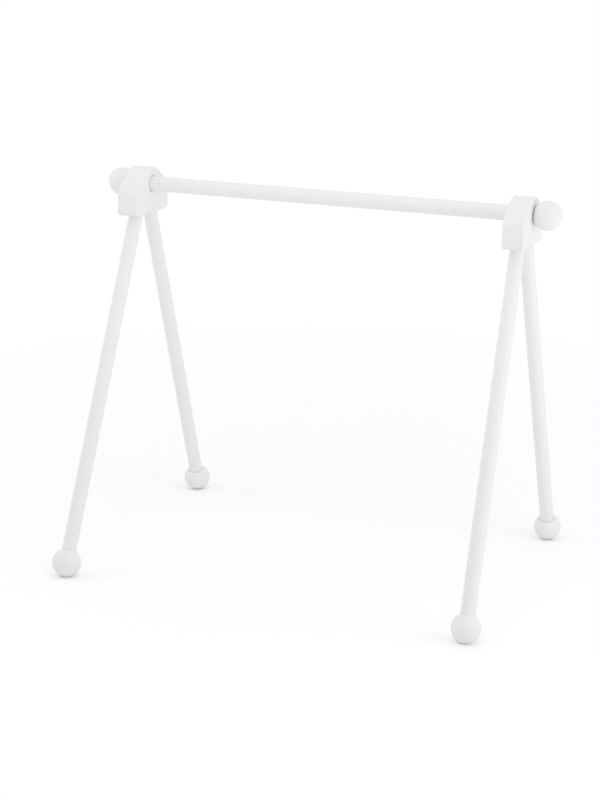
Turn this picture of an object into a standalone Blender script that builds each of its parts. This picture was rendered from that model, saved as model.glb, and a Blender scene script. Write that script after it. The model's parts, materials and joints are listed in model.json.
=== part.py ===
"""Baby play gym of painted wood: a crossbar carried by two A-frames that stand on ball feet.

Metres, +Z up. The origin is on the floor, midway between the four feet. X runs along the crossbar.
Each A-frame is a head block with two dowel legs. A ball knob at each end of the bar clamps the head
on the bar, and once it is eased the frame can be swung about the bar.
"""

import math

import bmesh
import bpy
from mathutils import Vector

# Stance
BAR_HEIGHT = 0.524  # crossbar's axis above the floor
BAR_SPAN = 0.5286  # crossbar that shows between the two heads
FOOT_SPACING_ALONG = 0.578  # foot centre to foot centre, along the bar
FOOT_SPACING_ACROSS = 0.4425  # foot centre to foot centre, within one frame

# Turned pieces
BAR_DIAMETER = 0.021
LEG_DIAMETER = 0.020
FOOT_DIAMETER = 0.040
FOOT_FLAT_DIAMETER = 0.010  # sanded flat that the ball stands on
FOOT_BORE_DEPTH = 0.0175  # leg's bore, from its rim to its floor
KNOB_DIAMETER = 0.0395
KNOB_FLAT_DIAMETER = 0.0205  # flat that faces the head
END_CHAMFER = 0.001  # on the ends of the bar and the legs
BORE_RIM_CHAMFER = 0.0006  # on the bores of the feet and knobs

# Head block
HEAD_THICKNESS = 0.030
HEAD_WIDTH = 0.104
HEAD_DROP = 0.0415  # crossbar's axis down to the flat underside
CROWN_HEIGHT = 0.0235  # crossbar's axis up to the top of the arch
CROWN_RADIUS = 0.042  # arch over the bar, centred below its axis
SLOPE_ANGLE = math.radians(32.5)  # straight flanks of the arch, below horizontal
SHOULDER_RADIUS = 0.022
CORNER_RADIUS = 0.0065  # lower corners
EDGE_ROUND = 0.0022  # all round both faces
BAR_SOCKET_DEPTH = 0.020
BAR_SOCKET_RIM = 0.0017  # rounding of the mouth that the bar enters
LEG_SOCKET_SPACING = 0.044  # between the two sockets' centres, on the underside
LEG_SOCKET_DEPTH = 0.010  # along the leg

# Hanger bolts and threaded inserts, alike in the legs and the knobs
BOLT_DIAMETER = 0.006
BOLT_NECK_DIAMETER = 0.005
BOLT_NECK_LENGTH = 0.002
BOLT_TIP_LENGTH = 0.004
BOLT_END_CHAMFER = 0.0008
BOLT_GRIP = 0.022  # length screwed into the wood
THREAD_ENGAGEMENT = 0.012  # length screwed into the insert
INSERT_DIAMETER = 0.010
INSERT_LENGTH = 0.013
INSERT_CHAMFER = 0.0006

# Clearances
FIT_GAP = 0.0003  # between pieces that touch
BAR_RUNNING_GAP = 0.0005  # round the bar in its sockets
KNOB_SEAM = 0.0007  # between a knob's flat and the head
CUTTER_OVERRUN = 0.010  # how far a cutter runs out past the face that it opens
WELD_DISTANCE = 0.000001

# Facets of one full turn
BALL_SEGMENTS = 32
BAR_SEGMENTS = 40
LEG_SEGMENTS = 32
FITTING_SEGMENTS = 16

# Facets of an arc
BALL_STEPS = 15
CROWN_STEPS = 5
SHOULDER_STEPS = 7
CORNER_STEPS = 4
EDGE_ROUND_STEPS = 3
SOCKET_RIM_STEPS = 3
SOCKET_RIM_STOP = math.radians(15)  # left off the end of the arc, so that it makes no sliver
SHARP_ANGLE = math.radians(30)

# Sizes that follow
HEAD_OFFSET = (BAR_SPAN + HEAD_THICKNESS) / 2
FOOT_RADIUS = FOOT_DIAMETER / 2
FOOT_CENTRE_HEIGHT = math.sqrt(FOOT_RADIUS**2 - (FOOT_FLAT_DIAMETER / 2) ** 2)
FOOT_BORE_RADIUS = LEG_DIAMETER / 2 + FIT_GAP
FOOT_RIM_HEIGHT = math.sqrt(FOOT_RADIUS**2 - FOOT_BORE_RADIUS**2)
FOOT_BORE_FLOOR = FOOT_RIM_HEIGHT - FOOT_BORE_DEPTH
KNOB_RADIUS = KNOB_DIAMETER / 2
KNOB_FLAT_DISTANCE = math.sqrt(KNOB_RADIUS**2 - (KNOB_FLAT_DIAMETER / 2) ** 2)
KNOB_OFFSET = BAR_SPAN / 2 + HEAD_THICKNESS + KNOB_SEAM + KNOB_FLAT_DISTANCE
BAR_LENGTH = BAR_SPAN + 2 * (BAR_SOCKET_DEPTH - FIT_GAP)
BAR_SOCKET_RADIUS = BAR_DIAMETER / 2 + BAR_RUNNING_GAP
LEG_SOCKET_RADIUS = LEG_DIAMETER / 2 + FIT_GAP
BOLT_HOLE_RADIUS = BOLT_DIAMETER / 2 + FIT_GAP
INSERT_HOLE_RADIUS = INSERT_DIAMETER / 2 + FIT_GAP
INSERT_HOLE_DEPTH = INSERT_LENGTH + 2 * FIT_GAP
KNOB_BOLT_REACH = FIT_GAP + HEAD_THICKNESS - BAR_SOCKET_DEPTH + KNOB_SEAM + THREAD_ENGAGEMENT

# Leg's axis in the frame's own space: the head is at the origin and +X points along the bar, inwards
SOCKET_MOUTH = Vector((0, LEG_SOCKET_SPACING / 2, -HEAD_DROP))
FOOT_CENTRE = Vector(
    (
        HEAD_OFFSET - FOOT_SPACING_ALONG / 2,
        FOOT_SPACING_ACROSS / 2,
        FOOT_CENTRE_HEIGHT - BAR_HEIGHT,
    )
)
LEG_AXIS = (SOCKET_MOUTH - FOOT_CENTRE).normalized()
LEG_TILT = LEG_AXIS.angle(Vector((0, 0, 1)))
LEG_START = FOOT_BORE_FLOOR + FIT_GAP
SOCKET_FLOOR = (SOCKET_MOUTH - FOOT_CENTRE).length + LEG_SOCKET_DEPTH
LEG_LENGTH = SOCKET_FLOOR - FIT_GAP - LEG_START


def clear_scene():
    for obj in list(bpy.data.objects):
        bpy.data.objects.remove(obj, do_unlink=True)


def make_material(name, colour, roughness, metallic=0.0):
    material = bpy.data.materials.new(name)
    material.use_nodes = True
    shader = material.node_tree.nodes["Principled BSDF"]
    shader.inputs["Base Color"].default_value = (*colour, 1.0)
    shader.inputs["Roughness"].default_value = roughness
    shader.inputs["Metallic"].default_value = metallic
    return material


def add_object(name, mesh, parent=None, location=(0, 0, 0), direction=None):
    """Add an object; its local +Z lies along the direction, and its local +X leans towards the sky."""
    obj = bpy.data.objects.new(name, mesh)
    bpy.context.scene.collection.objects.link(obj)
    obj.parent = parent
    obj.location = location
    if direction is not None:
        obj.rotation_euler = Vector(direction).to_track_quat("Z", "X").to_euler()
    return obj


def smooth(mesh):
    mesh.shade_smooth()
    mesh.set_sharp_from_angle(angle=SHARP_ANGLE)


def mesh_from(name, bm, material=None):
    bmesh.ops.recalc_face_normals(bm, faces=bm.faces)
    mesh = bpy.data.meshes.new(name)
    bm.to_mesh(mesh)
    bm.free()
    smooth(mesh)
    if material:
        mesh.materials.append(material)
    return mesh


def turned(profile, segments):
    """Turn (radius, height) points about Z. A profile that leaves the axis alone is closed into a ring."""
    bm = bmesh.new()
    points = [bm.verts.new((radius, 0, height)) for radius, height in profile]
    edges = [bm.edges.new(pair) for pair in zip(points, points[1:])]
    if profile[0][0] > 0:
        edges.append(bm.edges.new((points[-1], points[0])))
    bmesh.ops.spin(
        bm,
        geom=points + edges,
        axis=(0, 0, 1),
        cent=(0, 0, 0),
        angle=math.tau,
        steps=segments,
        use_merge=True,
    )
    bmesh.ops.remove_doubles(bm, verts=bm.verts, dist=WELD_DISTANCE)
    return bm


def arc(centre, radius, start, end, steps):
    """Points on a circle in a plane; angles run from the plane's second axis towards its first."""
    angles = [start + (end - start) * i / steps for i in range(steps + 1)]
    return [
        (centre[0] + radius * math.sin(angle), centre[1] + radius * math.cos(angle))
        for angle in angles
    ]


def bored_end(radius, bore_radius, height, bore_depth):
    """Profile of a chamfered shaft end with a pilot bore, from the shaft's side to the bore's tip."""
    return [
        (radius, height - END_CHAMFER),
        (radius - END_CHAMFER, height),
        (bore_radius, height),
        (bore_radius, height - bore_depth),
        (0, height - bore_depth - bore_radius),
    ]


def crossbar_mesh(material):
    """Bar along its own Z, bored at both ends for the knobs' bolts."""
    radius = BAR_DIAMETER / 2
    upper = bored_end(radius, BOLT_HOLE_RADIUS, BAR_LENGTH / 2, BOLT_GRIP)
    lower = [(r, -height) for r, height in reversed(upper)]
    return mesh_from("crossbar", turned(lower + upper, BAR_SEGMENTS), material)


def leg_mesh(material):
    """Dowel along its own Z, from the floor of the foot's bore at 0 to its bored upper end."""
    radius = LEG_DIAMETER / 2
    lower = [(0, 0), (radius - END_CHAMFER, 0), (radius, END_CHAMFER)]
    upper = bored_end(radius, BOLT_HOLE_RADIUS, LEG_LENGTH, BOLT_GRIP)
    return mesh_from("leg", turned(lower + upper, LEG_SEGMENTS), material)


def foot_mesh(material):
    """Ball centred on its origin, bored along +Z for the leg and cut flat where it stands."""
    rim_radius = FOOT_BORE_RADIUS + BORE_RIM_CHAMFER
    rim_angle = math.asin(rim_radius / FOOT_RADIUS)
    profile = arc((0, 0), FOOT_RADIUS, math.pi, rim_angle, BALL_STEPS)
    profile[0] = (0, -FOOT_RADIUS)
    profile += [
        (FOOT_BORE_RADIUS, profile[-1][1] - BORE_RIM_CHAMFER),
        (FOOT_BORE_RADIUS, FOOT_BORE_FLOOR),
        (0, FOOT_BORE_FLOOR),
    ]
    bm = turned(profile, BALL_SEGMENTS)
    down = Vector((-math.sin(LEG_TILT), 0, -math.cos(LEG_TILT)))
    cut = bmesh.ops.bisect_plane(
        bm,
        geom=bm.verts[:] + bm.edges[:] + bm.faces[:],
        plane_co=down * FOOT_CENTRE_HEIGHT,
        plane_no=down,
        clear_outer=True,
    )
    rim = [item for item in cut["geom_cut"] if isinstance(item, bmesh.types.BMEdge)]
    bmesh.ops.contextual_create(bm, geom=rim)
    return mesh_from("foot", bm, material)


def knob_mesh(material):
    """Ball centred on its origin; its flat, with the insert's hole, faces -Z."""
    flat_angle = math.pi - math.asin(KNOB_FLAT_DIAMETER / 2 / KNOB_RADIUS)
    profile = arc((0, 0), KNOB_RADIUS, 0, flat_angle, BALL_STEPS)
    profile[0] = (0, KNOB_RADIUS)
    flat = profile[-1][1]
    profile += [
        (INSERT_HOLE_RADIUS + BORE_RIM_CHAMFER, flat),
        (INSERT_HOLE_RADIUS, flat + BORE_RIM_CHAMFER),
        (INSERT_HOLE_RADIUS, flat + INSERT_HOLE_DEPTH),
        (0, flat + INSERT_HOLE_DEPTH),
    ]
    return mesh_from("knob", turned(profile, BALL_SEGMENTS), material)


def bolt_mesh(name, reach, material):
    """Hanger bolt along Z: its wood thread points down from 0, its machine thread reaches up."""
    radius = BOLT_DIAMETER / 2
    neck = BOLT_NECK_DIAMETER / 2
    taper = radius - neck
    profile = [
        (0, FIT_GAP - BOLT_GRIP),
        (radius, FIT_GAP - BOLT_GRIP + BOLT_TIP_LENGTH),
        (radius, -BOLT_NECK_LENGTH - taper),
        (neck, -BOLT_NECK_LENGTH),
        (neck, -taper),
        (radius, 0),
        (radius, reach - BOLT_END_CHAMFER),
        (radius - BOLT_END_CHAMFER, reach),
        (0, reach),
    ]
    return mesh_from(name, turned(profile, FITTING_SEGMENTS), material)


def insert_mesh(material):
    """Threaded insert along Z, from 0 up."""
    outer = INSERT_DIAMETER / 2
    profile = [
        (BOLT_HOLE_RADIUS, 0),
        (outer - INSERT_CHAMFER, 0),
        (outer, INSERT_CHAMFER),
        (outer, INSERT_LENGTH - INSERT_CHAMFER),
        (outer - INSERT_CHAMFER, INSERT_LENGTH),
        (BOLT_HOLE_RADIUS, INSERT_LENGTH),
    ]
    return mesh_from("insert", turned(profile, FITTING_SEGMENTS), material)


def head_outline():
    """Arched outline as (Y, Z) points about the bar's axis: a crown, straight flanks that touch it,
    rounded shoulders, upright sides and a flat underside with rounded corners."""
    half_width = HEAD_WIDTH / 2
    crown = (0, CROWN_HEIGHT - CROWN_RADIUS)
    shoulder_across = half_width - SHOULDER_RADIUS
    rise = CROWN_RADIUS - SHOULDER_RADIUS - shoulder_across * math.sin(SLOPE_ANGLE)
    shoulder_height = crown[1] + rise / math.cos(SLOPE_ANGLE)
    corner = (half_width - CORNER_RADIUS, CORNER_RADIUS - HEAD_DROP)
    shoulder = (shoulder_across, shoulder_height)
    half = arc(crown, CROWN_RADIUS, 0, SLOPE_ANGLE, CROWN_STEPS)
    half += arc(shoulder, SHOULDER_RADIUS, SLOPE_ANGLE, math.pi / 2, SHOULDER_STEPS)
    half += arc(corner, CORNER_RADIUS, math.pi / 2, math.pi, CORNER_STEPS)
    return half + [(-y, z) for y, z in reversed(half[1:])]


def head_blank():
    """Head block with rounded edges, before it is bored. It is centred on X, about the bar's axis."""
    bm = bmesh.new()
    corners = [bm.verts.new((-HEAD_THICKNESS / 2, y, z)) for y, z in head_outline()]
    face = bm.faces.new(corners)
    grown = bmesh.ops.extrude_face_region(bm, geom=[face])
    moved = [item for item in grown["geom"] if isinstance(item, bmesh.types.BMVert)]
    bmesh.ops.translate(bm, verts=moved, vec=(HEAD_THICKNESS, 0, 0))
    rims = [
        edge for edge in bm.edges if abs(edge.verts[0].co.x - edge.verts[1].co.x) < WELD_DISTANCE
    ]
    bmesh.ops.bevel(
        bm, geom=rims, offset=EDGE_ROUND, segments=EDGE_ROUND_STEPS, profile=0.5, affect="EDGES"
    )
    return mesh_from("head_blank", bm)


def bar_socket_cutter():
    """Stepped cutter along Z, with the inner face of the head at 0: the bar's socket with its rounded
    mouth, and the bolt's hole through the rest of the head."""
    floor = -BAR_SOCKET_DEPTH
    mouth = arc(
        (BAR_SOCKET_RADIUS + BAR_SOCKET_RIM, -BAR_SOCKET_RIM),
        BAR_SOCKET_RIM,
        -math.pi / 2,
        -SOCKET_RIM_STOP,
        SOCKET_RIM_STEPS,
    )
    profile = [
        (0, -HEAD_THICKNESS - CUTTER_OVERRUN),
        (BOLT_HOLE_RADIUS, -HEAD_THICKNESS - CUTTER_OVERRUN),
        (BOLT_HOLE_RADIUS, floor),
        (BAR_SOCKET_RADIUS, floor),
        *mouth,
        (mouth[-1][0], CUTTER_OVERRUN),
        (0, CUTTER_OVERRUN),
    ]
    return mesh_from("bar_socket_cutter", turned(profile, BAR_SEGMENTS))


def leg_socket_cutter():
    """Stepped cutter along Z, with the socket's floor at 0: the leg's socket below it, and the
    insert's hole above it."""
    profile = [
        (0, -LEG_SOCKET_DEPTH - CUTTER_OVERRUN),
        (LEG_SOCKET_RADIUS, -LEG_SOCKET_DEPTH - CUTTER_OVERRUN),
        (LEG_SOCKET_RADIUS, 0),
        (INSERT_HOLE_RADIUS, 0),
        (INSERT_HOLE_RADIUS, INSERT_HOLE_DEPTH),
        (0, INSERT_HOLE_DEPTH),
    ]
    return mesh_from("leg_socket_cutter", turned(profile, LEG_SEGMENTS))


def carved(blank, cutters, name, material):
    """Mesh of the blank with each cutter taken out. The blank and the cutters are used up."""
    for cutter in cutters:
        cut = blank.modifiers.new(cutter.name, "BOOLEAN")
        cut.operation = "DIFFERENCE"
        cut.solver = "EXACT"
        cut.object = cutter
    bpy.context.view_layer.update()
    graph = bpy.context.evaluated_depsgraph_get()
    mesh = bpy.data.meshes.new_from_object(blank.evaluated_get(graph))
    mesh.name = name
    smooth(mesh)
    mesh.materials.append(material)
    for helper in [blank, *cutters]:
        bpy.data.objects.remove(helper, do_unlink=True)
    return mesh


def mirrored_across(point, side):
    return Vector((point[0], side * point[1], point[2]))


def head_mesh(material):
    """Head block in the frame's own space, bored for the bar and both legs."""
    blank = add_object("head_blank", head_blank())
    cutters = [
        add_object(
            "bar_socket_cutter",
            bar_socket_cutter(),
            location=(HEAD_THICKNESS / 2, 0, 0),
            direction=(1, 0, 0),
        )
    ]
    for side in (-1, 1):
        axis = mirrored_across(LEG_AXIS, side)
        floor = mirrored_across(FOOT_CENTRE, side) + axis * SOCKET_FLOOR
        cutters.append(
            add_object(
                "leg_socket_cutter", leg_socket_cutter(), location=floor, direction=axis
            )
        )
    return carved(blank, cutters, "head", material)


def build_frame(name, end, meshes):
    """A-frame at one end of the bar. Its empty is on the bar's axis, in the middle of the head."""
    frame = add_object(f"{name}_frame", None, location=(end * HEAD_OFFSET, 0, BAR_HEIGHT))
    frame.empty_display_size = HEAD_WIDTH
    if end > 0:
        frame.rotation_euler.z = math.pi
    add_object(f"{name}_head", meshes["head"], frame)
    for side in (-1, 1):
        place = "front" if side * end > 0 else "rear"
        axis = mirrored_across(LEG_AXIS, side)
        centre = mirrored_across(FOOT_CENTRE, side)
        for piece, mesh, height in (
            ("foot", "foot", 0),
            ("leg", "leg", LEG_START),
            ("leg_bolt", "leg_bolt", LEG_START + LEG_LENGTH),
            ("leg_insert", "insert", SOCKET_FLOOR + FIT_GAP),
        ):
            add_object(
                f"{name}_{place}_{piece}", meshes[mesh], frame, centre + axis * height, axis
            )


def build_knob(name, end, crossbar, meshes):
    """Knob with its insert at one end of the bar, and the hanger bolt that it turns on. The bar's own
    +Z points to the right."""
    bolt = add_object(
        f"{name}_knob_bolt", meshes["knob_bolt"], crossbar, (0, 0, end * BAR_LENGTH / 2)
    )
    knob = add_object(f"{name}_knob", meshes["knob"], crossbar, (0, 0, end * KNOB_OFFSET))
    add_object(f"{name}_knob_insert", meshes["insert"], knob, (0, 0, FIT_GAP - KNOB_FLAT_DISTANCE))
    if end < 0:
        bolt.rotation_euler.x = math.pi
        knob.rotation_euler.x = math.pi


def build():
    clear_scene()
    paint = make_material("white_painted_wood", (0.86, 0.86, 0.85), 0.45)
    zinc = make_material("zinc_plated_steel", (0.62, 0.64, 0.66), 0.35, 1.0)
    brass = make_material("insert_brass", (0.78, 0.62, 0.32), 0.35, 1.0)
    meshes = {
        "head": head_mesh(paint),
        "leg": leg_mesh(paint),
        "foot": foot_mesh(paint),
        "knob": knob_mesh(paint),
        "leg_bolt": bolt_mesh("leg_bolt", FIT_GAP + THREAD_ENGAGEMENT, zinc),
        "knob_bolt": bolt_mesh("knob_bolt", KNOB_BOLT_REACH, zinc),
        "insert": insert_mesh(brass),
    }
    crossbar = add_object(
        "crossbar", crossbar_mesh(paint), None, (0, 0, BAR_HEIGHT), (1, 0, 0)
    )
    for name, end in (("left", -1), ("right", 1)):
        build_frame(name, end, meshes)
        build_knob(name, end, crossbar, meshes)


build()
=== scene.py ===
import json
import math

import bmesh
import bpy
import numpy as np
from mathutils import Matrix, Vector


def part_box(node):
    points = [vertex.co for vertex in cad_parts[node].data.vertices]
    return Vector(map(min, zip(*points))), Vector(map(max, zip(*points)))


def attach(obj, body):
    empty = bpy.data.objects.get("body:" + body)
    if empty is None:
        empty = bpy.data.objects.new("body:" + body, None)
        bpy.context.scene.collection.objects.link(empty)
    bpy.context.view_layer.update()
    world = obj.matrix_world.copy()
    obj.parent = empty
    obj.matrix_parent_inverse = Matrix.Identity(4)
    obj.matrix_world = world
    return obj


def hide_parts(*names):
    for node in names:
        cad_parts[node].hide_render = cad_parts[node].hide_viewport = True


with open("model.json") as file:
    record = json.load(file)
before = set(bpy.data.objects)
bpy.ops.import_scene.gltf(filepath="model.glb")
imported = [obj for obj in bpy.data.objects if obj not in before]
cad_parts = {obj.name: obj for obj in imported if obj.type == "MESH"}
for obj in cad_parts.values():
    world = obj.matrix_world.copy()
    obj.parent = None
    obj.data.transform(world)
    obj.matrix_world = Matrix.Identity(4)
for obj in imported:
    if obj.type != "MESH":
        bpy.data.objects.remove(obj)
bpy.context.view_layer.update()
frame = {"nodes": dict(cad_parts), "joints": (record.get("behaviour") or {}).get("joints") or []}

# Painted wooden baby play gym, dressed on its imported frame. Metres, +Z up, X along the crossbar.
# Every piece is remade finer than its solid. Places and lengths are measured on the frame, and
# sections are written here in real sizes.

UP = Vector((0, 0, 1))
INWARDS = {"left": Vector((1, 0, 0)), "right": Vector((-1, 0, 0))}
PLACES = ("front", "rear")

# Turned pieces
BAR_DIAMETER = 0.021
LEG_DIAMETER = 0.020
FOOT_DIAMETER = 0.040
FOOT_FLAT_DIAMETER = 0.010
FOOT_BORE_DEPTH = 0.0175
FOOT_RIM_ROUND = 0.0004
KNOB_DIAMETER = 0.0395
KNOB_FLAT_DIAMETER = 0.0205
KNOB_FLAT_ROUND = 0.0008
END_ROUND = 0.0009

# Head block
CROWN_HEIGHT = 0.0235
CROWN_RADIUS = 0.042
SLOPE_ANGLE = math.radians(32.5)
SHOULDER_RADIUS = 0.022
CORNER_RADIUS = 0.0065
EDGE_ROUND = 0.0022
BAR_SOCKET_DEPTH = 0.020
BAR_SOCKET_RIM = 0.0017
LEG_SOCKET_DEPTH = 0.010

# Hanger bolts and inserts
BOLT_DIAMETER = 0.006
BOLT_NECK_DIAMETER = 0.005
BOLT_NECK_LENGTH = 0.002
BOLT_TIP_LENGTH = 0.004
BOLT_TIP_DIAMETER = 0.0004
BOLT_END_CHAMFER = 0.0008
BOLT_GRIP = 0.022
MACHINE_THREAD = (0.001, 0.00055)  # pitch and depth
WOOD_THREAD = (0.0025, 0.0008)
INSERT_DIAMETER = 0.010
INSERT_CHAMFER = 0.0006
INSERT_THREAD = (0.0025, 0.0008)

# Clearances, as in the solids
FIT_GAP = 0.0003
BAR_RUNNING_GAP = 0.0005

# Mesh making
CUTTER_OVERRUN = 0.010
WELD_DISTANCE = 0.000001

# Fineness
TURN_SEGMENTS = 96
BALL_STEPS = 48
ROUND_STEPS = 6
OUTLINE_STEP = math.radians(2.5)
RIM_STOP = math.radians(15)
THREAD_SEGMENTS = 24
RINGS_PER_PITCH = 8
SHARP_ANGLE = math.radians(32)
ROUNDING = 7  # decimals of a metre, to find the points that several faces share

BOLT_HOLE_RADIUS = BOLT_DIAMETER / 2 + FIT_GAP
INSERT_HOLE_RADIUS = INSERT_DIAMETER / 2 + FIT_GAP


# Places, measured on the frame

UP_OR_RIGHT = (1, 0, 3)  # a standing node's axis is taken upwards, and the bar's to the right


def measured_axis(node):
    """Ends of a long turned node's axis, the lower or left one first."""
    mesh = frame["nodes"][node].data
    corners = np.array([vertex.co for vertex in mesh.vertices])
    points = np.unique(corners.round(ROUNDING), axis=0)
    middle = points.mean(axis=0)
    direction = np.linalg.svd(points - middle)[2][0]
    if direction @ UP_OR_RIGHT < 0:
        direction = -direction
    reach = (points - middle) @ direction
    return Vector(middle + direction * reach.min()), Vector(middle + direction * reach.max())


def pose_along(origin, direction):
    """Matrix that puts a local origin at a point and local +Z along a direction."""
    turn = Vector(direction).to_track_quat("Z", "X").to_matrix().to_4x4()
    return Matrix.Translation(origin) @ turn


def width_along_x(node):
    low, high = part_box(node)
    return high.x - low.x


BAR_AXIS_HEIGHT = frame["joints"][0]["pos_m"][2]
INSERT_LENGTH = width_along_x("left_knob_insert")


def hub_of(side):
    """Middle of a head block, on the bar's axis."""
    low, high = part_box(f"{side}_head")
    return Vector(((low.x + high.x) / 2, 0, BAR_AXIS_HEIGHT))


# Mesh building


def settle_order(bm):
    """Sorts points, edges and faces by place, because welding leaves them in a different order
    each time."""
    points = sorted(bm.verts, key=lambda point: tuple(point.co))
    bm.verts.sort(key={point: rank for rank, point in enumerate(points)}.get)
    bm.verts.index_update()
    for parts in (bm.edges, bm.faces):
        order = sorted(parts, key=lambda part: sorted(point.index for point in part.verts))
        parts.sort(key={part: rank for rank, part in enumerate(order)}.get)


def mesh_from(name, bm):
    """Ends a mesh under construction: welded, facing outwards, smooth but for its sharp edges."""
    bmesh.ops.remove_doubles(bm, verts=bm.verts, dist=WELD_DISTANCE)
    bmesh.ops.recalc_face_normals(bm, faces=bm.faces)
    settle_order(bm)
    mesh = bpy.data.meshes.new(name)
    bm.to_mesh(mesh)
    bm.free()
    mesh.shade_smooth()
    mesh.set_sharp_from_angle(angle=SHARP_ANGLE)
    return mesh


def arc(centre, radius, start, end, steps):
    """Points on a circle; angles run from the second axis towards the first."""
    angles = np.linspace(start, end, steps + 1)
    return [
        (centre[0] + radius * math.sin(angle), centre[1] + radius * math.cos(angle))
        for angle in angles
    ]


def turned(name, profile):
    """Turn (radius, height) points about Z. The profile starts and ends on the axis."""
    bm = bmesh.new()
    points = [bm.verts.new((radius, 0, height)) for radius, height in profile]
    edges = [bm.edges.new(pair) for pair in zip(points, points[1:])]
    bmesh.ops.spin(
        bm,
        geom=points + edges,
        axis=(0, 0, 1),
        cent=(0, 0, 0),
        angle=math.tau,
        steps=TURN_SEGMENTS,
        use_merge=True,
    )
    return mesh_from(name, bm)


def flat_distance(diameter, flat_diameter):
    """How far a ball's flat lies from its centre."""
    return math.sqrt((diameter / 2) ** 2 - (flat_diameter / 2) ** 2)


def bored_end(radius, height):
    """Rounded end of a shaft with the pilot bore of its bolt, from the side to the bore's tip."""
    side = arc((radius - END_ROUND, height - END_ROUND), END_ROUND, math.pi / 2, 0, ROUND_STEPS)
    return [
        *side,
        (BOLT_HOLE_RADIUS, height),
        (BOLT_HOLE_RADIUS, height - BOLT_GRIP),
        (0, height - BOLT_GRIP - BOLT_HOLE_RADIUS),
    ]


def evenly(profile, longest):
    """Adds points to the straight runs of a profile, so that no run is longer than asked."""
    out = [profile[0]]
    for start, end in zip(profile, profile[1:]):
        count = max(1, math.ceil(math.dist(start, end) / longest))
        for i in range(1, count + 1):
            share = i / count
            out.append(tuple(a + (b - a) * share for a, b in zip(start, end)))
    return out


def bar_mesh(length):
    """Bar along Z, centred on its origin, bored at both ends."""
    upper = bored_end(BAR_DIAMETER / 2, length / 2)
    lower = [(radius, -height) for radius, height in reversed(upper)]
    return turned("bar", evenly(lower + upper, BAR_DIAMETER))


def leg_mesh(length):
    """Leg along Z from 0, plain below and bored above."""
    radius = LEG_DIAMETER / 2
    centre = (radius - END_ROUND, END_ROUND)
    lower = [(0, 0), *arc(centre, END_ROUND, math.pi, math.pi / 2, ROUND_STEPS)]
    return turned("leg", evenly(lower + bored_end(radius, length), LEG_DIAMETER))


def foot_mesh(tilt):
    """Ball about its origin, bored along Z with a rounded rim, and flat where it stands."""
    radius = FOOT_DIAMETER / 2
    bore = LEG_DIAMETER / 2 + FIT_GAP
    rim_centre = bore + FOOT_RIM_ROUND
    rim_height = math.sqrt((radius - FOOT_RIM_ROUND) ** 2 - rim_centre**2)
    rim_angle = math.atan2(rim_centre, rim_height)
    profile = arc((0, 0), radius, math.pi, rim_angle, BALL_STEPS)
    profile[0] = (0, -radius)
    profile += arc(
        (rim_centre, rim_height), FOOT_RIM_ROUND, rim_angle, -math.pi / 2, ROUND_STEPS
    )[1:]
    floor = math.sqrt(radius**2 - bore**2) - FOOT_BORE_DEPTH
    profile += [(bore, floor), (0, floor)]
    mesh = turned("foot", profile)
    bm = bmesh.new()
    bm.from_mesh(mesh)
    down = Vector((-math.sin(tilt), 0, -math.cos(tilt)))
    cut = bmesh.ops.bisect_plane(
        bm,
        geom=bm.verts[:] + bm.edges[:] + bm.faces[:],
        plane_co=down * flat_distance(FOOT_DIAMETER, FOOT_FLAT_DIAMETER),
        plane_no=down,
        clear_outer=True,
    )
    rim = [item for item in cut["geom_cut"] if isinstance(item, bmesh.types.BMEdge)]
    bmesh.ops.contextual_create(bm, geom=rim)
    return mesh_from("foot", bm)


def knob_mesh():
    """Ball about its origin, with its rounded flat and the insert's hole towards -Z."""
    radius = KNOB_DIAMETER / 2
    flat = -flat_distance(KNOB_DIAMETER, KNOB_FLAT_DIAMETER)
    round_height = flat + KNOB_FLAT_ROUND
    round_centre = math.sqrt((radius - KNOB_FLAT_ROUND) ** 2 - round_height**2)
    round_angle = math.atan2(round_centre, round_height)
    hole_depth = INSERT_LENGTH + 2 * FIT_GAP
    profile = arc((0, 0), radius, 0, round_angle, BALL_STEPS)
    profile[0] = (0, radius)
    profile += arc(
        (round_centre, round_height), KNOB_FLAT_ROUND, round_angle, math.pi, ROUND_STEPS
    )[1:]
    profile += [
        (INSERT_HOLE_RADIUS, flat),
        (INSERT_HOLE_RADIUS, flat + hole_depth),
        (0, flat + hole_depth),
    ]
    return turned("knob", profile)


# Head block


def outline_arc(centre, radius, start, end):
    steps = max(2, round(abs(end - start) / OUTLINE_STEP))
    return arc(centre, radius, start, end, steps)


def head_outline(width, drop):
    """Arched outline as (Y, Z) points about the bar's axis."""
    half_width = width / 2
    crown = (0, CROWN_HEIGHT - CROWN_RADIUS)
    across = half_width - SHOULDER_RADIUS
    rise = CROWN_RADIUS - SHOULDER_RADIUS - across * math.sin(SLOPE_ANGLE)
    height = crown[1] + rise / math.cos(SLOPE_ANGLE)
    corner = (half_width - CORNER_RADIUS, CORNER_RADIUS - drop)
    half = outline_arc(crown, CROWN_RADIUS, 0, SLOPE_ANGLE)
    half += outline_arc((across, height), SHOULDER_RADIUS, SLOPE_ANGLE, math.pi / 2)
    half += outline_arc(corner, CORNER_RADIUS, math.pi / 2, math.pi)
    return half + [(-y, z) for y, z in reversed(half[1:])]


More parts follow.
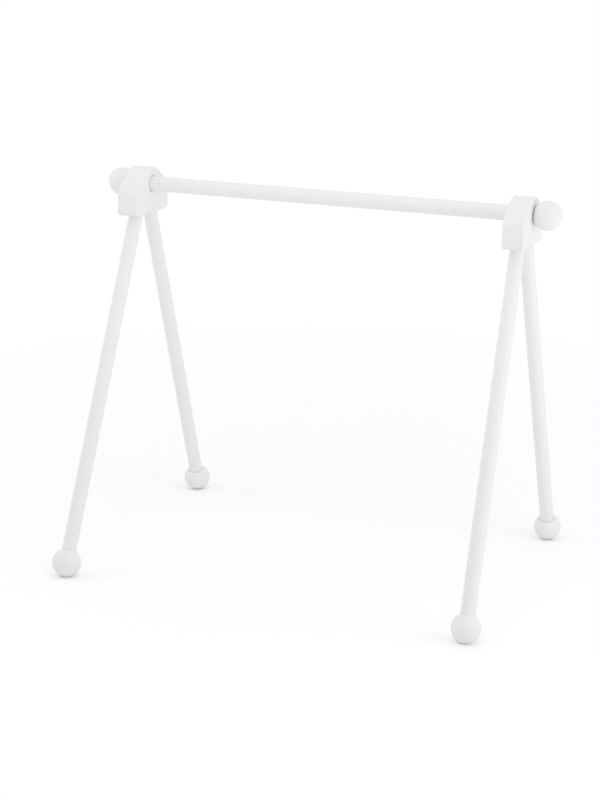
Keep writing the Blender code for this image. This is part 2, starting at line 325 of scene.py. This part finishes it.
def head_blank(thickness, width, drop):
    """Head with its edges rounded and nothing bored, centred on the bar's axis."""
    bm = bmesh.new()
    outline = head_outline(width, drop)
    face = bm.faces.new([bm.verts.new((-thickness / 2, y, z)) for y, z in outline])
    grown = bmesh.ops.extrude_face_region(bm, geom=[face])
    moved = [item for item in grown["geom"] if isinstance(item, bmesh.types.BMVert)]
    bmesh.ops.translate(bm, verts=moved, vec=(thickness, 0, 0))
    rims = [e for e in bm.edges if abs(e.verts[0].co.x - e.verts[1].co.x) < WELD_DISTANCE]
    bmesh.ops.bevel(
        bm, geom=rims, offset=EDGE_ROUND, segments=ROUND_STEPS, profile=0.5, affect="EDGES"
    )
    return mesh_from("head_blank", bm)


def bar_socket_cutter(thickness):
    """Cutter along Z with the head's inner face at 0: bar's socket, rounded mouth and bolt hole."""
    radius = BAR_DIAMETER / 2 + BAR_RUNNING_GAP
    mouth = arc(
        (radius + BAR_SOCKET_RIM, -BAR_SOCKET_RIM),
        BAR_SOCKET_RIM,
        -math.pi / 2,
        -RIM_STOP,
        ROUND_STEPS,
    )
    profile = [
        (0, -thickness - CUTTER_OVERRUN),
        (BOLT_HOLE_RADIUS, -thickness - CUTTER_OVERRUN),
        (BOLT_HOLE_RADIUS, -BAR_SOCKET_DEPTH),
        (radius, -BAR_SOCKET_DEPTH),
        *mouth,
        (mouth[-1][0], CUTTER_OVERRUN),
        (0, CUTTER_OVERRUN),
    ]
    return turned("bar_socket_cutter", profile)


def leg_socket_cutter():
    """Cutter along Z with the socket's floor at 0: leg's socket below, insert's hole above."""
    radius = LEG_DIAMETER / 2 + FIT_GAP
    depth = INSERT_LENGTH + 2 * FIT_GAP
    profile = [
        (0, -LEG_SOCKET_DEPTH - CUTTER_OVERRUN),
        (radius, -LEG_SOCKET_DEPTH - CUTTER_OVERRUN),
        (radius, 0),
        (INSERT_HOLE_RADIUS, 0),
        (INSERT_HOLE_RADIUS, depth),
        (0, depth),
    ]
    return turned("leg_socket_cutter", profile)


def carved(name, blank, cutters):
    """Mesh of the blank with the cutters taken out; each cutter is (mesh, matrix)."""
    collection = bpy.context.scene.collection
    body = bpy.data.objects.new(name, blank)
    collection.objects.link(body)
    helpers = []
    for mesh, place in cutters:
        helper = bpy.data.objects.new(mesh.name, mesh)
        collection.objects.link(helper)
        helper.matrix_world = place
        helpers.append(helper)
        cut = body.modifiers.new(mesh.name, "BOOLEAN")
        cut.operation = "DIFFERENCE"
        cut.solver = "EXACT"
        cut.object = helper
    bpy.context.view_layer.update()
    graph = bpy.context.evaluated_depsgraph_get()
    mesh = bpy.data.meshes.new_from_object(body.evaluated_get(graph))
    mesh.name = name
    mesh.shade_smooth()
    mesh.set_sharp_from_angle(angle=SHARP_ANGLE)
    for helper in [body, *helpers]:
        bpy.data.objects.remove(helper, do_unlink=True)
    return mesh


def head_mesh(side):
    """Head block about its hub, with +X inwards, bored for the bar and both legs."""
    low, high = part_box(f"{side}_head")
    thickness = high.x - low.x
    own_space = head_place(side).inverted()
    cutters = [
        (
            bar_socket_cutter(thickness),
            pose_along(Vector((thickness / 2, 0, 0)), Vector((1, 0, 0))),
        )
    ]
    for place in PLACES:
        lower, upper = measured_axis(f"{side}_{place}_leg")
        direction = (upper - lower).normalized()
        floor = upper + direction * FIT_GAP
        cutters.append((leg_socket_cutter(), own_space @ pose_along(floor, direction)))
    blank = head_blank(thickness, high.y - low.y, BAR_AXIS_HEIGHT - low.z)
    return carved("head", blank, cutters)


def head_place(side):
    """Matrix from a head's own space, with +X inwards, to the frame's."""
    turn = Matrix.Rotation(math.pi if side == "right" else 0, 4, "Z")
    return Matrix.Translation(hub_of(side)) @ turn


# Threaded fittings


def ring(bm, height, radii):
    """A ring of points about Z, evenly spaced, with one radius for each."""
    angles = [i / len(radii) * math.tau for i in range(len(radii))]
    return [
        bm.verts.new((radius * math.cos(angle), radius * math.sin(angle), height))
        for radius, angle in zip(radii, angles)
    ]


def threaded_mesh(name, outline, threads, bore=0.0):
    """Rod along Z, or a tube where it has a bore.

    The outline is a list of (height, radius), and the threads are a list of (first height, last
    height, pitch, depth), each of which is cut into it as a helix.
    """
    first, last = outline[0][0], outline[-1][0]
    finest = min(pitch for _, _, pitch, _ in threads)
    rings = math.ceil((last - first) / finest * RINGS_PER_PITCH)
    heights = np.linspace(first, last, rings + 1)
    full = np.interp(heights, *zip(*outline))
    bm = bmesh.new()
    rows = []
    for height, radius in zip(heights, full):
        radii = []
        for i in range(THREAD_SEGMENTS):
            cut = 0.0
            for start, stop, pitch, depth in threads:
                if start <= height <= stop:
                    phase = (height / pitch - i / THREAD_SEGMENTS) % 1.0
                    cut = depth * abs(2 * phase - 1)
            radii.append(max(radius - cut, BOLT_TIP_DIAMETER / 2))
        rows.append(ring(bm, height, radii))
    if bore:
        rows += [ring(bm, height, [bore] * THREAD_SEGMENTS) for height in (last, first)]
        rows.append(rows[0])
    else:
        bm.faces.new(list(reversed(rows[0])))
        bm.faces.new(rows[-1])
    for below, above in zip(rows, rows[1:]):
        for i in range(THREAD_SEGMENTS):
            j = (i + 1) % THREAD_SEGMENTS
            bm.faces.new((below[i], below[j], above[j], above[i]))
    return mesh_from(name, bm)


def bolt_mesh(reach):
    """Hanger bolt with its collar at 0: wood thread down to its point, machine thread up."""
    radius = BOLT_DIAMETER / 2
    neck = BOLT_NECK_DIAMETER / 2
    taper = radius - neck
    tip = FIT_GAP - BOLT_GRIP
    outline = [
        (tip, BOLT_TIP_DIAMETER / 2),
        (tip + BOLT_TIP_LENGTH, radius),
        (-BOLT_NECK_LENGTH - taper, radius),
        (-BOLT_NECK_LENGTH, neck),
        (-taper, neck),
        (0, radius),
        (reach - BOLT_END_CHAMFER, radius),
        (reach, radius - BOLT_END_CHAMFER),
    ]
    threads = [(tip, -BOLT_NECK_LENGTH - taper, *WOOD_THREAD), (0, reach, *MACHINE_THREAD)]
    return threaded_mesh("hanger_bolt", outline, threads)


def insert_mesh():
    """Threaded insert along Z from 0."""
    length = INSERT_LENGTH
    radius = INSERT_DIAMETER / 2
    outline = [
        (0, radius - INSERT_CHAMFER),
        (INSERT_CHAMFER, radius),
        (length - INSERT_CHAMFER, radius),
        (length, radius - INSERT_CHAMFER),
    ]
    threads = [(INSERT_CHAMFER, length - INSERT_CHAMFER, *INSERT_THREAD)]
    return threaded_mesh("insert", outline, threads, BOLT_HOLE_RADIUS)


# Materials

# Places of a Mix node's colour sockets, which share their names with its other sockets
MIX_FIRST, MIX_SECOND, MIX_RESULT = 6, 7, 2
USUAL_NOISE = (0.25, 0.75)


class Nodes:
    """Shorthand for building one material's nodes."""

    def __init__(self, name):
        self.material = bpy.data.materials.new(name)
        self.material.use_nodes = True
        self.tree = self.material.node_tree
        self.shader = self.tree.nodes["Principled BSDF"]

    def add(self, kind, settings=None, **inputs):
        """Adds a node. Settings are its own properties, and the inputs are values or sockets."""
        node = self.tree.nodes.new(kind)
        for key, value in (settings or {}).items():
            setattr(node, key, value)
        for key, value in inputs.items():
            self.put(node.inputs[key.replace("_", " ")], value)
        return node

    def put(self, socket, value):
        if isinstance(value, bpy.types.NodeSocket):
            self.tree.links.new(value, socket)
        else:
            socket.default_value = value

    def noise(self, place, cells, detail=2.0, roughness=0.5):
        """Noise with so many cells to a metre, the same or different along the three axes."""
        scale = cells if isinstance(cells, tuple) else (cells, cells, cells)
        mapping = self.add("ShaderNodeMapping", Vector=place, Scale=scale)
        node = self.add(
            "ShaderNodeTexNoise",
            Vector=mapping.outputs["Vector"],
            Scale=1.0,
            Detail=detail,
            Roughness=roughness,
        )
        return node.outputs["Fac"]

    def spread(self, value, low, high, within=USUAL_NOISE):
        """Turns the range that a value is within into the range from low to high."""
        node = self.add("ShaderNodeMapRange", Value=value)
        node.inputs["From Min"].default_value = within[0]
        node.inputs["From Max"].default_value = within[1]
        node.inputs["To Min"].default_value = low
        node.inputs["To Max"].default_value = high
        return node.outputs["Result"]

    def bump(self, height, distance, normal=None):
        """Raises a 0 to 1 height by a distance in metres."""
        node = self.add("ShaderNodeBump", Height=height, Distance=distance, Strength=1.0)
        if normal is not None:
            self.put(node.inputs["Normal"], normal)
        return node.outputs["Normal"]

    def blend(self, share, first, second):
        """Mixes two colours by a share."""
        node = self.add("ShaderNodeMix", {"data_type": "RGBA"})
        self.put(node.inputs["Factor"], share)
        self.put(node.inputs[MIX_FIRST], first)
        self.put(node.inputs[MIX_SECOND], second)
        return node.outputs[MIX_RESULT]

    def own_space(self):
        """Coordinates in the piece's own space, moved so that no two pieces share a pattern."""
        place = self.add("ShaderNodeTexCoord").outputs["Object"]
        node = self.add("ShaderNodeVectorMath", {"operation": "ADD"})
        self.put(node.inputs[0], place)
        self.put(node.inputs[1], self.add("ShaderNodeObjectInfo").outputs["Random"])
        return node.outputs["Vector"]


# Paint
PAINT = (0.88, 0.879, 0.871, 1.0)
PAINT_THIN = (0.833, 0.817, 0.782, 1.0)  # over the grain and on arrises, where it is thinnest
PAINT_COOL = (0.876, 0.876, 0.881, 1.0)
# Painted shade: a darker copy of the paint, for the lower ends near the floor
PAINT_SHADED = (0.70, 0.70, 0.695, 1.0)
# Painted shade: share of the darker paint at a piece's origin and below, and the height over which
# it fades, so that the legs' lower ends and the feet's undersides render darker, as shade near the
# floor makes them. It is guessed, from the darker lower ends in the photograph.
LEG_PAINTED_SHADE = (0.22, 0.40)
FOOT_PAINTED_SHADE = (0.24, 0.022)
GRAIN_SHARE = 0.16
GRAIN_SHOWS = (0.55, 0.75)
ARRIS_SHARE = 0.35
ARRIS_SHOWS = (0.52, 0.60)
PORES_SHOW = (0.62, 0.78)
PAINT_ROUGHNESS = (0.50, 0.64)
PAINT_SPECULAR = 0.2

# Patterns, in cells to a metre
GRAIN_ALONG_Z = (1100, 1100, 45)
GRAIN_ALONG_Y = (1100, 45, 1100)
BALL_GRAIN = (900, 900, 60)
PORE_FINENESS = 3.2  # times the grain's
CLOUDS = 14
SHEEN = 60
PEEL = 700
STAINS = 260
TURNING_ACROSS = 40

# Relief in metres
GRAIN_RELIEF = 0.00006
PORE_RELIEF = 0.00004
PEEL_RELIEF = 0.00003
TURNING_RELIEF = 0.00001

# Stains on metal
STAIN_SHARE = 0.5
STAINS_SHOW = (0.45, 0.75)
STAIN_ROUGHENING = 0.15


def painted_wood(name, grain, painted_shade=None):
    """Satin white paint on close-grained wood, with painted shade towards its origin and below
    where that is asked for.
    """
    nodes = Nodes(name)
    place = nodes.own_space()
    fibres = nodes.noise(place, grain, detail=3.0, roughness=0.6)
    pores = nodes.noise(place, tuple(PORE_FINENESS * cells for cells in grain), detail=1.0)
    clouds = nodes.noise(place, CLOUDS)
    peel = nodes.noise(place, PEEL, detail=1.0)
    sheen = nodes.noise(place, SHEEN, detail=3.0)

    tone = nodes.blend(nodes.spread(clouds, 0.0, 1.0), PAINT, PAINT_COOL)
    tone = nodes.blend(nodes.spread(fibres, 0.0, GRAIN_SHARE, GRAIN_SHOWS), tone, PAINT_THIN)
    arrises = nodes.add("ShaderNodeNewGeometry").outputs["Pointiness"]
    tone = nodes.blend(nodes.spread(arrises, 0.0, ARRIS_SHARE, ARRIS_SHOWS), tone, PAINT_THIN)
    # Painted shade: darker at the piece's origin and below, fading out along its own Z
    if painted_shade:
        share, reach = painted_shade
        along = nodes.add("ShaderNodeSeparateXYZ")
        nodes.put(along.inputs[0], nodes.add("ShaderNodeTexCoord").outputs["Object"])
        shade_share = nodes.spread(along.outputs["Z"], share, 0.0, (0.0, reach))
        tone = nodes.blend(shade_share, tone, PAINT_SHADED)
    nodes.put(nodes.shader.inputs["Base Color"], tone)

    nodes.put(nodes.shader.inputs["Roughness"], nodes.spread(sheen, *PAINT_ROUGHNESS))
    nodes.shader.inputs["Specular IOR Level"].default_value = PAINT_SPECULAR

    normal = nodes.bump(fibres, GRAIN_RELIEF)
    normal = nodes.bump(nodes.spread(pores, 1.0, 0.0, PORES_SHOW), PORE_RELIEF, normal)
    normal = nodes.bump(peel, PEEL_RELIEF, normal)
    nodes.put(nodes.shader.inputs["Normal"], normal)
    return nodes.material


def turned_metal(name, colour, stain, roughness, lines):
    """Plated or bare metal with a little staining and so many turning lines to a metre of Z."""
    nodes = Nodes(name)
    place = nodes.own_space()
    turning = nodes.noise(place, (TURNING_ACROSS, TURNING_ACROSS, lines))
    stains = nodes.noise(place, STAINS, detail=3.0)
    tone = nodes.blend(nodes.spread(stains, 0.0, STAIN_SHARE, STAINS_SHOW), colour, stain)
    nodes.put(nodes.shader.inputs["Base Color"], tone)
    nodes.shader.inputs["Metallic"].default_value = 1.0
    rough = nodes.spread(stains, roughness, roughness + STAIN_ROUGHENING)
    nodes.put(nodes.shader.inputs["Roughness"], rough)
    nodes.put(nodes.shader.inputs["Normal"], nodes.bump(turning, TURNING_RELIEF))
    return nodes.material


DOWEL_PAINT = painted_wood("painted_dowel", GRAIN_ALONG_Z)
# The legs' and feet's paint carries painted shade at their lower ends
LEG_PAINT = painted_wood("painted_leg", GRAIN_ALONG_Z, LEG_PAINTED_SHADE)
BLOCK_PAINT = painted_wood("painted_block", GRAIN_ALONG_Y)
BALL_PAINT = painted_wood("painted_ball", BALL_GRAIN)
FOOT_PAINT = painted_wood("painted_foot", BALL_GRAIN, FOOT_PAINTED_SHADE)
ZINC = turned_metal(
    "zinc_plated_steel",
    colour=(0.62, 0.64, 0.66, 1.0),
    stain=(0.50, 0.50, 0.48, 1.0),
    roughness=0.26,
    lines=4000,
)
BRASS = turned_metal(
    "insert_brass",
    colour=(0.78, 0.62, 0.32, 1.0),
    stain=(0.55, 0.40, 0.20, 1.0),
    roughness=0.28,
    lines=3000,
)


# The object


def add_piece(name, mesh, material, place, body, node):
    """Adds a piece at its place. It rides on a body and stands for one node of the frame."""
    piece = bpy.data.objects.new(name, mesh)
    bpy.context.scene.collection.objects.link(piece)
    if material.name not in mesh.materials:
        mesh.materials.append(material)
    piece.matrix_world = place
    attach(piece, body)
    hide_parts(node)
    return piece


def add_wood(name, mesh, material, place, body):
    """Adds a painted piece, which has the name of the node that it stands for."""
    return add_piece(
        f"painted_{name}", mesh, material, place, body, name
    )


def add_fittings(name, bolt, insert, end, insert_end, direction, bolt_body, insert_body):
    """Adds a hanger bolt from a wooden end, and the insert that it screws into."""
    add_piece(
        f"threaded_{name}_bolt",
        bolt,
        ZINC,
        pose_along(end, direction),
        bolt_body,
        f"{name}_bolt",
    )
    add_piece(
        f"threaded_{name}_insert",
        insert,
        BRASS,
        pose_along(insert_end, direction),
        insert_body,
        f"{name}_insert",
    )


INSERT = insert_mesh()
KNOB = knob_mesh()


def add_leg(side, place):
    """Adds a leg with its foot and its fittings."""
    name = f"{side}_{place}"
    body = f"{side}_frame"
    lower, upper = measured_axis(f"{name}_leg")
    direction = (upper - lower).normalized()
    foot_height = flat_distance(FOOT_DIAMETER, FOOT_FLAT_DIAMETER)
    foot_centre = lower + direction * ((foot_height - lower.z) / direction.z)
    leg = leg_mesh((upper - lower).length)
    add_wood(f"{name}_leg", leg, LEG_PAINT, pose_along(lower, direction), body)
    # A foot's mesh is turned rather than its object, so that its box has the ball's own size
    foot = foot_mesh(direction.angle(UP))
    foot.transform(pose_along(Vector(), direction))
    add_wood(f"{name}_foot", foot, FOOT_PAINT, Matrix.Translation(foot_centre), body)
    insert_end = upper + direction * (2 * FIT_GAP)
    bolt_top = measured_axis(f"{name}_leg_bolt")[1]
    bolt = bolt_mesh((bolt_top - upper).length)
    add_fittings(f"{name}_leg", bolt, INSERT, upper, insert_end, direction, body, body)


def add_knob(side, bar_end):
    """Adds a knob with its fittings, facing outwards from the bar's end."""
    body = f"{side}_clamp_knob"
    outwards = -INWARDS[side]
    low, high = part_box(f"{side}_knob")
    tip = Vector((high.x if side == "right" else low.x, 0, BAR_AXIS_HEIGHT))
    centre = tip - outwards * (KNOB_DIAMETER / 2)
    flat = flat_distance(KNOB_DIAMETER, KNOB_FLAT_DIAMETER)
    add_wood(f"{side}_knob", KNOB, BALL_PAINT, pose_along(centre, outwards), body)
    insert_end = centre + outwards * (FIT_GAP - flat)
    bolt = bolt_mesh(width_along_x(f"{side}_knob_bolt") - (BOLT_GRIP - FIT_GAP))
    add_fittings(f"{side}_knob", bolt, INSERT, bar_end, insert_end, outwards, "bar", body)


def add_object():
    left_end, right_end = measured_axis("crossbar")
    middle = (left_end + right_end) / 2
    bar = bar_mesh((right_end - left_end).length)
    add_wood("crossbar", bar, DOWEL_PAINT, pose_along(middle, right_end - left_end), "bar")
    for side, bar_end in (("left", left_end), ("right", right_end)):
        head = add_wood(
            f"{side}_head", head_mesh(side), BLOCK_PAINT, head_place(side), f"{side}_frame"
        )
        even = head.modifiers.new("even_shading", "WEIGHTED_NORMAL")
        even.keep_sharp = True
        for place in PLACES:
            add_leg(side, place)
        add_knob(side, bar_end)


add_object()


# Studio

FLOOR_SIZE = 80.0
FLOOR_COLOUR = (0.972, 0.97, 0.98, 1.0)
# Extra white that only the viewer, reflections and glass see, near the object and far from it
FLOOR_LIFT = (0.085, 0.19)
FLOOR_LIFT_REACH = (0.3, 2.0)
WORLD_LIGHT = 0.844
WORLD_COLOUR = (0.993, 0.993, 1.0, 1.0)
LAMP_COLOUR = (1.0, 0.985, 0.96)
LAMP_AIM = Vector((0, 0, 0.35))
# Softboxes: place, size and power
SOFTBOXES = {
    "right_softbox": (Vector((1.5, -0.2, 0.42)), 0.84, 2.85),
    "left_softbox": (Vector((-1.3, -0.5, 1.1)), 0.9, 1.45),
    "top_softbox": (Vector((0.1, -0.3, 1.1)), 0.6, 0.65),
}


def add_math(tree, operation, first, second):
    """Adds a Math node that works on two sockets or numbers, and gives its result."""
    node = tree.nodes.new("ShaderNodeMath")
    node.operation = operation
    for socket, value in zip(node.inputs, (first, second)):
        if isinstance(value, bpy.types.NodeSocket):
            tree.links.new(value, socket)
        else:
            socket.default_value = value
    return node.outputs[0]


def seen_share(tree):
    """1 for rays that the camera, a reflection or glass sends, and 0 for light that spreads."""
    path = tree.nodes.new("ShaderNodeLightPath")
    share = add_math(
        tree, "MAXIMUM", path.outputs["Is Camera Ray"], path.outputs["Is Glossy Ray"]
    )
    return add_math(tree, "MAXIMUM", share, path.outputs["Is Transmission Ray"])


def add_floor():
    """Pale floor that keeps the object's shadow and is seen as white further out."""
    bpy.ops.mesh.primitive_plane_add(size=FLOOR_SIZE)
    floor = bpy.context.object
    floor.name = "studio_floor"
    material = bpy.data.materials.new("studio_white")
    material.use_nodes = True
    tree = material.node_tree
    shader = tree.nodes["Principled BSDF"]
    shader.inputs["Base Color"].default_value = FLOOR_COLOUR
    shader.inputs["Roughness"].default_value = 1.0
    shader.inputs["Specular IOR Level"].default_value = 0.0
    shader.inputs["Emission Color"].default_value = (1, 1, 1, 1)
    place = tree.nodes.new("ShaderNodeNewGeometry")
    distance = tree.nodes.new("ShaderNodeVectorMath")
    distance.operation = "LENGTH"
    tree.links.new(place.outputs["Position"], distance.inputs[0])
    lift = tree.nodes.new("ShaderNodeMapRange")
    tree.links.new(distance.outputs["Value"], lift.inputs["Value"])
    lift.inputs["From Min"].default_value = FLOOR_LIFT_REACH[0]
    lift.inputs["From Max"].default_value = FLOOR_LIFT_REACH[1]
    lift.inputs["To Min"].default_value = FLOOR_LIFT[0]
    lift.inputs["To Max"].default_value = FLOOR_LIFT[1]
    seen = add_math(tree, "MULTIPLY", seen_share(tree), lift.outputs["Result"])
    tree.links.new(seen, shader.inputs["Emission Strength"])
    floor.data.materials.append(material)


def add_world():
    """Even light on the object, before a backdrop that is seen as white."""
    world = bpy.data.worlds.new("studio")
    bpy.context.scene.world = world
    world.use_nodes = True
    tree = world.node_tree
    lit = tree.nodes["Background"]
    lit.inputs["Color"].default_value = WORLD_COLOUR
    lit.inputs["Strength"].default_value = WORLD_LIGHT
    white = tree.nodes.new("ShaderNodeBackground")
    white.inputs["Color"].default_value = (1, 1, 1, 1)
    mix = tree.nodes.new("ShaderNodeMixShader")
    tree.links.new(seen_share(tree), mix.inputs["Fac"])
    tree.links.new(lit.outputs["Background"], mix.inputs[1])
    tree.links.new(white.outputs["Background"], mix.inputs[2])
    tree.links.new(mix.outputs["Shader"], tree.nodes["World Output"].inputs["Surface"])


def add_softbox(name, place, size, power):
    """Adds a square lamp that faces the object and that the camera doesn't see."""
    lamp = bpy.data.lights.new(name, "AREA")
    lamp.shape = "SQUARE"
    lamp.size = size
    lamp.energy = power
    lamp.color = LAMP_COLOUR
    holder = bpy.data.objects.new(name, lamp)
    holder.visible_camera = False
    bpy.context.scene.collection.objects.link(holder)
    holder.matrix_world = pose_along(place, place - LAMP_AIM)


add_floor()
add_world()
for softbox, setting in SOFTBOXES.items():
    add_softbox(softbox, *setting)

# Camera, where the photograph's stood

CAMERA_PLACE = Vector((0.8504, -2.3277, 0.8966))
CAMERA_YAW = math.radians(20.738)
CAMERA_PITCH = math.radians(14.962)
CAMERA_ROLL = math.radians(1.451)
LENS = 81.268  # millimetres, on a sensor 36 mm along the picture's long side
SENSOR = 36.0


def add_camera():
    lens = bpy.data.cameras.new("camera")
    lens.lens = LENS
    lens.sensor_width = SENSOR
    lens.sensor_fit = "AUTO"
    camera = bpy.data.objects.new("camera", lens)
    bpy.context.scene.collection.objects.link(camera)
    turn = Matrix.Rotation(CAMERA_YAW, 4, "Z")
    turn = turn @ Matrix.Rotation(math.pi / 2 - CAMERA_PITCH, 4, "X")
    turn = turn @ Matrix.Rotation(CAMERA_ROLL, 4, "Z")
    camera.matrix_world = Matrix.Translation(CAMERA_PLACE) @ turn
    bpy.context.scene.camera = camera


add_camera()
bpy.context.scene.view_settings.view_transform = "Standard"
